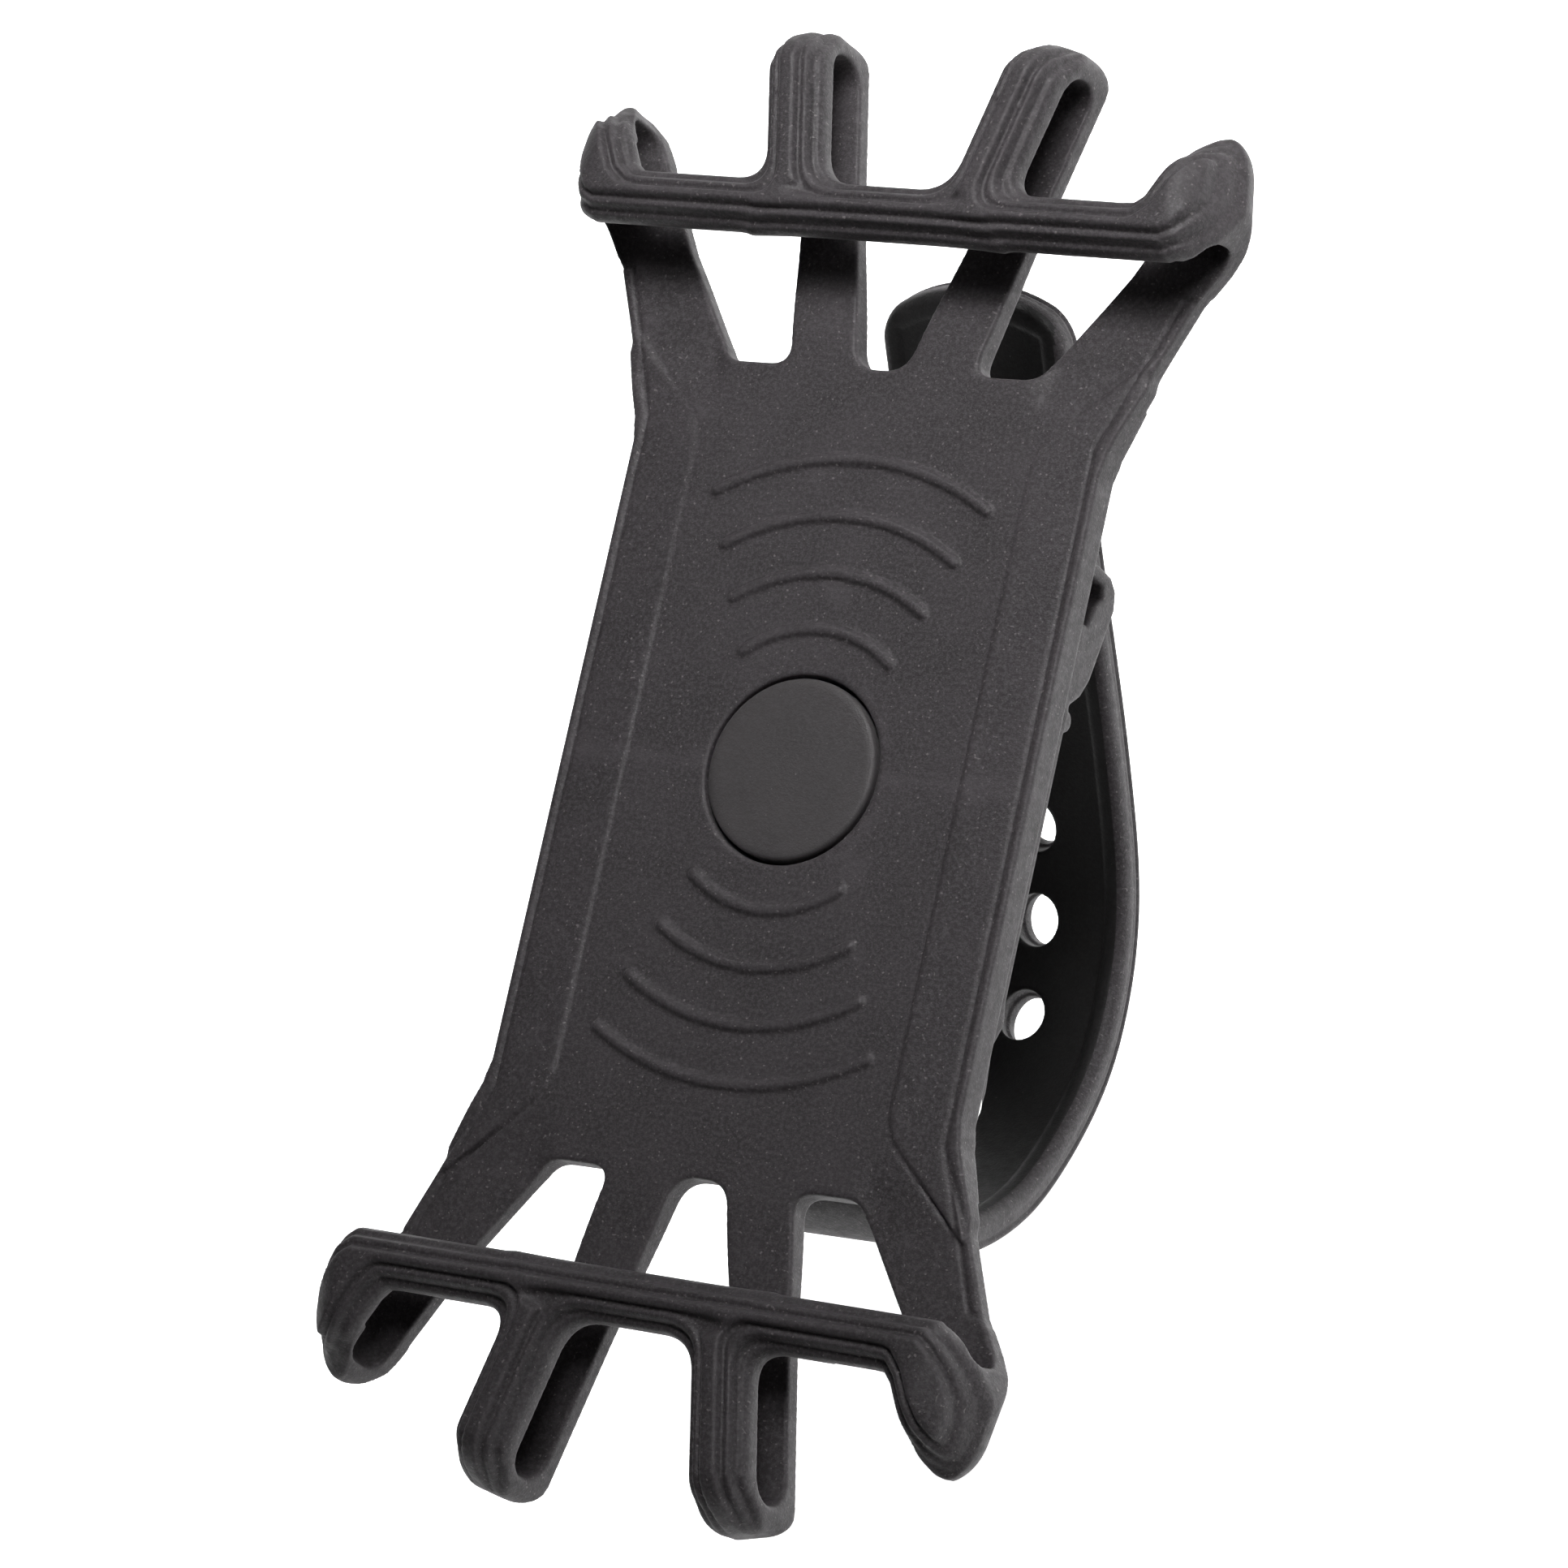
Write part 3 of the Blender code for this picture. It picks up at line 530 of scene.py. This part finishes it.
def strap_band(route, look, painted_shade_look):
    """The band is shaped flat, with its holes, tongue and eye, and is then bent round the bar."""
    lengths, points, _ = route
    total = lengths[-1]
    step = VOXEL
    ss = np.arange(-5.0, total + 1.5, step)
    ws = np.arange(-12.0, 12.01, step)
    hs = np.arange(-4.6, 4.61, step)
    s, w = np.meshgrid(ss, ws, indexing="ij")
    h = hs[None, None, :]

    bow = 1.0 - np.sqrt(np.clip(1.0 - (np.abs(w) / TONGUE_HALF) ** 2, 0.0, 1.0))
    tongue = total - TONGUE_BOW * bow
    plan = round_box(np.abs(w) - STRAP_HALF, (s - tongue) * 0.92, 2.2)
    plan = np.maximum(plan, 0.6 - s)
    rim = smoothstep((plan + 2.6) / 0.5) * 0.22
    inner_face = -STRAP_HALF_THICK - rim
    band = blend_both(plan[..., None], inner_face[..., None] - h, 1.5)
    band = blend_both(band, h - STRAP_HALF_THICK, 0.7)
    at_edge = np.abs(plan)[..., None] < 1.2
    band = band - groove(h - 0.85, 0.2, 0.32) * at_edge
    band = band - groove(h - 0.1, 0.16, 0.12) * at_edge

    from_pin = np.hypot(s[..., None], h)
    eye = round_box(np.abs(w)[..., None] - STRAP_HALF, from_pin - EYE_R, 0.7)
    band = blend_union(band, eye, 1.6)
    band = blend_both(band, PIN_BORE - from_pin, 0.2)

    # Each hole is a little wider on the inner half of the band.
    hook_at = lengths[np.argmax((points[:, 0] >= HOOK_Y) & (points[:, 1] > -45.0))]
    for place in HOLES:
        hole = HOLE_R - np.hypot((s - hook_at - place) / HOLE_LONG, w * HOLE_NARROW)[..., None]
        hole = hole + HOLE_STEP * smoothstep((0.15 - h) / 0.25)
        band = blend_both(band, hole, SOFT)

    verts, faces = net_surface(band, (ss[0], ws[0], hs[0]), step)
    place, tangent = on_route(route, verts[:, 0])
    outward = np.stack([tangent[:, 1], -tangent[:, 0]], axis=-1)
    bent = place + outward * verts[:, 2:3]
    solid = np.stack([verts[:, 1] + STRAP_SIDE_SHIFT, bent[:, 0], bent[:, 1]], axis=-1)
    piece = mesh_object("strap_moulding", solid, faces)
    middle_s, middle_w, middle_h = verts[faces].mean(axis=1).T
    # Painted shade: faces on the band's inner face get a darker silicone, standing in for the shade
    # that falls inside the strap loop.
    inner_side = (middle_h < -1.05) & (middle_s > 7.0) & (np.abs(middle_w) < STRAP_HALF - 0.9)
    piece.data.materials.append(look)
    piece.data.materials.append(painted_shade_look)
    piece.data.polygons.foreach_set("material_index", inner_side.astype(np.int32))
    thin_out(piece, 0.5)
    face_out(piece)
    smooth_shade(piece)
    return piece


# ------------------------------------------------------------ base

def saddle_block():
    """Soft block between hub and bar: a curled lobe at one end, ears for the pin at the other."""
    step = VOXEL
    lobe = [(22.0, -21.2), (27.0, -22.2), (29.4, -24.4), (29.9, -26.2), (29.5, -29.2),
            (28.5, -30.6), (26.7, -31.1), (18.8, -29.1), (16.8, -27.9), (15.4, -26.1)]
    ear = [(-15.4, -26.1), (-19.0, -27.2), (-24.0, -27.9), (-27.2, -27.5), (-28.3, -25.4),
           (-26.9, -22.9), (-22.0, -21.2)]
    xs = np.arange(-15.2, 15.21, step)
    ys = np.arange(-31.5, 31.51, step)
    zs = np.arange(-32.5, -19.8, step)
    y, z = np.meshgrid(ys, zs, indexing="ij")
    profile = (polygon(y, z, lobe + ear) - 0.15)[None]
    x = np.abs(xs)[:, None, None]
    width = (14.3 - 1.1 * smoothstep((-17.0 - y) / 3.0))[None]
    block = round_box(profile, x - width, 0.5)
    bead = np.hypot(y - 13.7, z + 26.3)[None] - 1.15
    block = blend_union(block, round_box(bead, x - 14.2, 0.4), 0.3)

    curl = [(23.6, -26.2), (25.6, -26.9), (27.1, -28.2), (28.4, -27.7), (28.7, -25.6),
            (27.9, -23.6), (25.6, -22.9), (23.6, -23.4)]
    hollow = np.maximum((polygon(y, z, curl) + 0.1)[None], 11.4 - x)
    block = blend_both(block, -hollow, 0.5)
    waist = np.maximum(np.abs(y) - 13.5, np.abs(z + 23.5) - 1.1)[None]
    block = blend_both(block, -np.maximum(waist, 13.4 - x), 0.4)

    slot = np.maximum(x - 10.8, (y + 21.8)[None])
    block = blend_both(block, -slot, 0.6)
    pin = np.hypot(y - PIN_AT[0], z - PIN_AT[1])[None]
    block = blend_both(block, -np.maximum(pin - PIN_BORE, x - PIN_REACH), 0.25)
    verts, faces = net_surface(block, (xs[0], ys[0], zs[0]), step)
    piece = mesh_object("saddle_moulding", verts, faces)
    thin_out(piece, 0.5)
    smooth_shade(piece)
    return piece


def lathe(name, profile, segments=160, wobble=None):
    """Turn a closed (radius, height) outline; wobble changes the radius by angle and level."""
    verts, faces = [], []
    axis_points = {}
    count = len(profile)
    for k in range(segments):
        angle = 2.0 * math.pi * k / segments
        for i, (r, z) in enumerate(profile):
            extra = wobble(angle, i) if wobble else 0.0
            verts.append(((r + extra) * math.cos(angle), (r + extra) * math.sin(angle), z))
    for i, (r, z) in enumerate(profile):
        if r == 0.0:
            axis_points[i] = len(verts)
            verts.append((0.0, 0.0, z))
    for k in range(segments):
        here, there = k * count, ((k + 1) % segments) * count
        for i in range(count):
            j = (i + 1) % count
            loop = []
            for base, index in ((here, i), (there, i), (there, j), (here, j)):
                corner = axis_points.get(index, base + index)
                if corner not in loop:
                    loop.append(corner)
            if len(loop) > 2:
                faces.append(loop)
    piece = mesh_object(name, verts, faces)
    face_out(piece)
    return piece


def fillet(points, radius, steps=5):
    """Round the corners of a closed (radius, height) outline, except those on the axis."""
    rounded = []
    count = len(points)
    for i in range(count):
        here = Vector(points[i])
        before = Vector(points[i - 1])
        after = Vector(points[(i + 1) % count])
        if here.x == 0.0:
            rounded.append(tuple(here))
            continue
        one, two = (before - here), (after - here)
        reach = min(radius, one.length * 0.45, two.length * 0.45)
        start, stop = here + one.normalized() * reach, here + two.normalized() * reach
        for k in range(steps + 1):
            t = k / steps
            rounded.append(tuple(start * (1 - t) ** 2 + here * 2 * t * (1 - t) + stop * t * t))
    return rounded


def centre_button():
    """Push button: slightly domed top with a soft rim."""
    radius, base = 9.2, -2.4
    dome = [(r, 0.22 + 0.12 * (1.0 - (r / radius) ** 2))
            for r in (0.0, 1.5, 3.0, 4.5, 6.0, 7.2, 8.2, 8.8)]
    rim = [(9.05, 0.12), (9.17, -0.08), (radius, -0.4), (radius, -2.2)]
    piece = lathe("centre_button", [(0.0, base)] + dome + rim + [(9.0, base)], 192)
    smooth_shade(piece, 60.0)
    return piece


def return_spring():
    """Steel coil under the push button."""
    low, high = (np.array(corner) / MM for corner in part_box("button_spring"))
    wire, turns, per_turn, sides = 0.35, 3, 32, 12
    radius = high[0] - wire
    verts, faces = [], []
    count = turns * per_turn
    for k in range(count + 1):
        angle = 2.0 * math.pi * k / per_turn
        level = low[2] + wire + (high[2] - low[2] - 2.0 * wire) * k / count
        for i in range(sides):
            turn = 2.0 * math.pi * i / sides
            reach = radius + wire * math.cos(turn)
            verts.append((reach * math.cos(angle), reach * math.sin(angle),
                          level + wire * math.sin(turn)))
    for k in range(count):
        for i in range(sides):
            j = (i + 1) % sides
            a, b = k * sides, (k + 1) * sides
            faces.append((a + i, a + j, b + j, b + i))
    faces += [tuple(range(sides)), tuple(range(count * sides + sides - 1, count * sides - 1, -1))]
    piece = mesh_object("return_spring", verts, faces, lift=False)
    face_out(piece)
    smooth_shade(piece, 60.0)
    return piece


def hub_housing():
    """Swivel housing with shallow grip flutes round its wall."""
    wall_r = 16.3
    corners = [(0.0, -19.5), (14.0, -19.5), (14.0, -8.8), (16.4, -8.8), (16.4, -20.9), (0.0, -20.9)]
    profile = fillet(corners, 0.35)
    dense = []
    for i, (r, z) in enumerate(profile):
        dense.append((r, z))
        after_r, after_z = profile[(i + 1) % len(profile)]
        if r > wall_r and after_r > wall_r and abs(after_z - z) > 5:
            dense += [(r, z + (after_z - z) * t) for t in (0.12, 0.16, 0.2, 0.8, 0.84, 0.88)]
    depths = [-0.45 if r > wall_r and -18.6 < z < -11.0 else 0.0 for r, z in dense]

    def flutes(angle, index):
        return depths[index] * (0.5 + 0.5 * math.cos(angle * 36)) ** 2

    piece = lathe("hub_housing_shell", dense, 288, flutes)
    smooth_shade(piece, 40.0)
    return piece


def rotor_flange():
    """Turning part of the hub: a flange under the cradle and a hollow neck inside the housing."""
    profile = fillet([(8.3, -5.6), (16.4, -5.6), (16.4, -7.6), (9.5, -7.6), (9.5, -12.0),
                      (11.8, -12.0), (11.8, -13.2), (8.3, -13.2), (8.3, -9.6), (2.9, -9.6),
                      (2.9, -8.6), (8.3, -8.6)], 0.3)
    piece = lathe("rotor_flange", profile, 192)
    smooth_shade(piece, 40.0)
    return piece


# ------------------------------------------------------------ materials

def node_tree(name):
    """A new material: itself, its tree, its surface shader and the object's own coordinates."""
    made = bpy.data.materials.new(name)
    made.use_nodes = True
    tree = made.node_tree
    tree.nodes.clear()
    output = tree.nodes.new("ShaderNodeOutputMaterial")
    shader = tree.nodes.new("ShaderNodeBsdfPrincipled")
    tree.links.new(shader.outputs[0], output.inputs[0])
    place = tree.nodes.new("ShaderNodeTexCoord").outputs["Object"]
    return made, tree, shader, place


def noise(tree, place, scale, detail=3.0, rough=0.5):
    """Noise from 0 to 1; the scale is in waves per metre."""
    node = tree.nodes.new("ShaderNodeTexNoise")
    node.inputs["Scale"].default_value = scale
    node.inputs["Detail"].default_value = detail
    node.inputs["Roughness"].default_value = rough
    tree.links.new(place, node.inputs["Vector"])
    return node.outputs["Fac"]


def ramp(tree, value, stops):
    """Map a value through (place, level) stops to a grey or a colour."""
    node = tree.nodes.new("ShaderNodeValToRGB")
    elements = node.color_ramp.elements
    while len(elements) < len(stops):
        elements.new(0.5)
    for element, (place, level) in zip(elements, stops):
        element.position = place
        element.color = (*level, 1.0) if isinstance(level, tuple) else (level, level, level, 1.0)
    tree.links.new(value, node.inputs["Fac"])
    return node.outputs["Color"]


def mix(tree, factor, one, two):
    """Mix two colours; each input is a number, a colour or another node's output."""
    node = tree.nodes.new("ShaderNodeMix")
    node.data_type = "RGBA"
    for socket, value in ((node.inputs[0], factor), (node.inputs[6], one), (node.inputs[7], two)):
        if isinstance(value, (int, float)):
            socket.default_value = value
        elif isinstance(value, tuple):
            socket.default_value = (*value, 1.0)
        else:
            tree.links.new(value, socket)
    return node.outputs[2]


def maths(tree, operation, one, two):
    """A maths node on numbers or other nodes' outputs."""
    node = tree.nodes.new("ShaderNodeMath")
    node.operation = operation
    for socket, value in zip(node.inputs, (one, two)):
        if isinstance(value, (int, float)):
            socket.default_value = value
        else:
            tree.links.new(value, socket)
    return node.outputs[0]


def bump(tree, height, strength, distance, normal=None):
    """Relief of the given distance in metres, on top of another normal."""
    node = tree.nodes.new("ShaderNodeBump")
    node.inputs["Strength"].default_value = strength
    node.inputs["Distance"].default_value = distance
    tree.links.new(height, node.inputs["Height"])
    if normal is not None:
        tree.links.new(normal, node.inputs["Normal"])
    return node.outputs["Normal"]


def pale_edge_line(tree):
    """Raised edges, which get a paler line."""
    shape = tree.nodes.new("ShaderNodeNewGeometry").outputs["Pointiness"]
    return ramp(tree, shape, [(0.50, 0.0), (0.56, 1.0)])


def silicone(name, colour, dark, pale, rough, specks=0.82):
    """Matte moulded silicone: mottled tone, fine grain, pale dust specks and paler edges."""
    made, tree, shader, place = node_tree(name)
    cloud = noise(tree, place, 130.0, 4.0, 0.6)
    grain = noise(tree, place, 2600.0, 2.0, 0.7)
    fine = noise(tree, place, 5200.0, 1.0, 0.5)
    tone = mix(tree, ramp(tree, cloud, [(0.32, 0.0), (0.68, 1.0)]), dark, colour)
    tone = mix(tree, ramp(tree, grain, [(0.42, 0.0), (0.66, 0.75)]), tone, pale)
    flecks = maths(tree, "MULTIPLY", ramp(tree, fine, [(0.56, 0.0), (0.72, 1.0)]), 0.35)
    tone = mix(tree, flecks, tone, pale)
    dust = noise(tree, place, 3000.0, 0.0, 0.5)
    spot = maths(tree, "MULTIPLY", ramp(tree, dust, [(specks - 0.08, 0.0), (specks, 1.0)]), 0.38)
    tone = mix(tree, spot, tone, (0.24, 0.22, 0.22))
    tone = mix(tree, maths(tree, "MULTIPLY", pale_edge_line(tree), 0.35), tone, pale)
    tree.links.new(tone, shader.inputs["Base Color"])
    finish = ramp(tree, noise(tree, place, 900.0, 2.0), [(0.3, rough - 0.08), (0.7, rough + 0.08)])
    tree.links.new(finish, shader.inputs["Roughness"])
    normal = bump(tree, grain, 0.35, 0.00012)
    normal = bump(tree, fine, 0.25, 0.00006, normal)
    tree.links.new(normal, shader.inputs["Normal"])
    shader.inputs["Specular IOR Level"].default_value = 0.42
    shader.inputs["Sheen Weight"].default_value = 0.06
    shader.inputs["Sheen Roughness"].default_value = 0.5
    return made


def plastic(name, colour, pale, rough, scale=1800.0):
    """Spark-eroded moulded plastic with paler edges."""
    made, tree, shader, place = node_tree(name)
    grain = noise(tree, place, scale, 3.0, 0.6)
    cloud = noise(tree, place, 90.0, 3.0, 0.5)
    tone = mix(tree, ramp(tree, cloud, [(0.3, 0.0), (0.7, 0.6)]), colour, pale)
    tone = mix(tree, maths(tree, "MULTIPLY", pale_edge_line(tree), 0.5), tone, pale)
    tree.links.new(tone, shader.inputs["Base Color"])
    finish = ramp(tree, grain, [(0.3, rough - 0.08), (0.7, rough + 0.1)])
    tree.links.new(finish, shader.inputs["Roughness"])
    tree.links.new(bump(tree, grain, 0.3, 0.00008), shader.inputs["Normal"])
    return made


def steel(name):
    """Zinc-plated steel: fine turned scratches and dull patches."""
    made, tree, shader, place = node_tree(name)
    stretch = tree.nodes.new("ShaderNodeMapping")
    stretch.inputs["Scale"].default_value = (1.0, 1.0, 14.0)
    tree.links.new(place, stretch.inputs["Vector"])
    scratches = noise(tree, stretch.outputs[0], 1400.0, 4.0, 0.6)
    patches = noise(tree, place, 260.0, 3.0, 0.5)
    tone = mix(tree, ramp(tree, patches, [(0.35, 0.0), (0.7, 1.0)]),
               (0.52, 0.53, 0.55), (0.68, 0.68, 0.66))
    tree.links.new(tone, shader.inputs["Base Color"])
    shader.inputs["Metallic"].default_value = 1.0
    finish = ramp(tree, scratches, [(0.3, 0.22), (0.7, 0.42)])
    tree.links.new(finish, shader.inputs["Roughness"])
    tree.links.new(bump(tree, scratches, 0.2, 0.00004), shader.inputs["Normal"])
    return made


def dress(piece, material):
    """Give a piece one material."""
    piece.data.materials.clear()
    piece.data.materials.append(material)


# ------------------------------------------------------------ assembly

def add_pieces(looks):
    """Make the detailed meshes, each in place of its CAD nodes; the saddle, button, housing and
    rotor go on their bodies.
    """
    grips = (("upper", False, 1.0), ("lower", True, -1.0))
    for end, mirrored, sign in grips:
        half = cradle_half(f"cradle_moulding_{end}", end, mirrored)
        dress(half, looks["silicone"])
        nodes = [f"{end}_crossbar"]
        nodes += [f"{end}_{side}_{kind}_finger"
                  for side in ("left", "right") for kind in ("inner", "outer")]
        if not mirrored:
            nodes.append("cradle_plate")
        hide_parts(*nodes)
        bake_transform(half)

    route = strap_route()
    strap = strap_band(route, looks["silicone"], looks["inner"])
    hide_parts("strap_root", "strap_band")
    split, tangent = on_route(route, np.array(route[0][-1] * STRAP_BREAK))
    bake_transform(strap)

    saddle = saddle_block()
    dress(saddle, looks["silicone"])
    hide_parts("base_saddle")
    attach(saddle, "base")

    button = centre_button()
    dress(button, looks["button"])
    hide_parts("release_button")
    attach(button, "button")

    spring = return_spring()
    dress(spring, looks["steel"])
    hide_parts("button_spring")
    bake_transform(spring)

    housing = hub_housing()
    dress(housing, looks["plastic"])
    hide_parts("swivel_housing")
    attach(housing, "base")

    rotor = rotor_flange()
    dress(rotor, looks["plastic"])
    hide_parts("rotor_hub")
    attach(rotor, "cradle")


def dress_frame(looks):
    """Give each CAD node that still shows its finish and softened edges."""
    kinds = {"silicone": "silicone", "button_silicone": "button", "black_plastic": "plastic",
             "acetal": "acetal", "steel": "steel"}
    slots = {part["node"]: part["material_slot"] for part in frame["record"]["subparts"]}
    for name, thing in frame["nodes"].items():
        if thing.hide_render:
            continue
        look = looks[kinds[slots[name]]]
        if not thing.data.materials:
            thing.data.materials.append(look)
        for slot in thing.material_slots:
            slot.material = look
        edge = thing.modifiers.new("soft_edge", "BEVEL")
        edge.width = PAD_EDGE_WIDTH if name == "bar_pad" else EDGE_WIDTH
        edge.segments = 2
        edge.limit_method = "ANGLE"
        edge.angle_limit = math.radians(35)


def studio():
    """Pale floor, soft lights and the camera at the photo's angle."""
    scene = bpy.context.scene
    world = bpy.data.worlds.new("studio")
    scene.world = world
    world.use_nodes = True
    background = world.node_tree.nodes["Background"]
    background.inputs["Color"].default_value = (1.0, 1.0, 1.0, 1.0)
    background.inputs["Strength"].default_value = WORLD_STRENGTH

    mesh = bpy.data.meshes.new("floor")
    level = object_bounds()[0][2] - FLOOR_DROP
    corners = [(i * FLOOR_HALF, j * FLOOR_HALF, level)
               for i, j in ((-1, -1), (1, -1), (1, 1), (-1, 1))]
    mesh.from_pydata(corners, [], [(0, 1, 2, 3)])
    floor = bpy.data.objects.new("floor", mesh)
    scene.collection.objects.link(floor)
    made, _, shader, _ = node_tree("floor_white")
    shader.inputs["Base Color"].default_value = (0.95, 0.95, 0.95, 1.0)
    shader.inputs["Roughness"].default_value = 1.0
    shader.inputs["Specular IOR Level"].default_value = 0.0
    shader.inputs["Emission Color"].default_value = (1.0, 1.0, 1.0, 1.0)
    shader.inputs["Emission Strength"].default_value = FLOOR_GLOW
    mesh.materials.append(made)
    floor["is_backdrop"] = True

    for name, place, size, power, aim, spread in LAMPS:
        data = bpy.data.lights.new(name, "AREA")
        data.shape = "SQUARE"
        data.size = size
        data.energy = power
        data.spread = math.radians(spread)
        lamp = bpy.data.objects.new(name, data)
        lamp.location = place
        lamp.rotation_euler = (Vector(aim) - Vector(place)).to_track_quat("-Z", "Y").to_euler()
        scene.collection.objects.link(lamp)

    data = bpy.data.cameras.new("camera")
    data.lens = CAMERA_LENS
    data.sensor_width = CAMERA_FILM
    data.clip_start = 0.05
    camera = bpy.data.objects.new("camera", data)
    right = Vector(CAMERA_RIGHT)
    back = Vector(CAMERA_BACK).normalized()
    right = (right - back * right.dot(back)).normalized()
    up = back.cross(right)
    pose = Matrix((right, up, back)).transposed().to_4x4()
    pose.translation = Vector(CAMERA_PLACE)
    camera.matrix_world = pose
    scene.collection.objects.link(camera)
    scene.camera = camera
    scene.view_settings.view_transform = "Standard"


def main():
    looks = {
        "silicone": silicone("silicone_black", (0.030, 0.0260, 0.0284), (0.018, 0.0157, 0.0168),
                             (0.058, 0.051, 0.056), 0.62),
        "button": silicone("silicone_button", (0.045, 0.0405, 0.0418), (0.036, 0.0327, 0.0340),
                           (0.052, 0.048, 0.050), 0.58, 0.9),
        # Painted shade: darker silicone for the strap's inner face, where shade falls inside the
        # loop.
        "inner": silicone("silicone_painted_shade", (0.0075, 0.0070, 0.0072), (0.0045, 0.0042, 0.0043),
                          (0.014, 0.013, 0.0135), 0.5, 0.95),
        "plastic": plastic("plastic_black", (0.018, 0.018, 0.019), (0.045, 0.045, 0.046), 0.48),
        "acetal": plastic("acetal_natural", (0.60, 0.59, 0.56), (0.70, 0.69, 0.66), 0.38, 900.0),
        "steel": steel("steel_zinc"),
    }
    studio()
    add_pieces(looks)
    dress_frame(looks)


main()
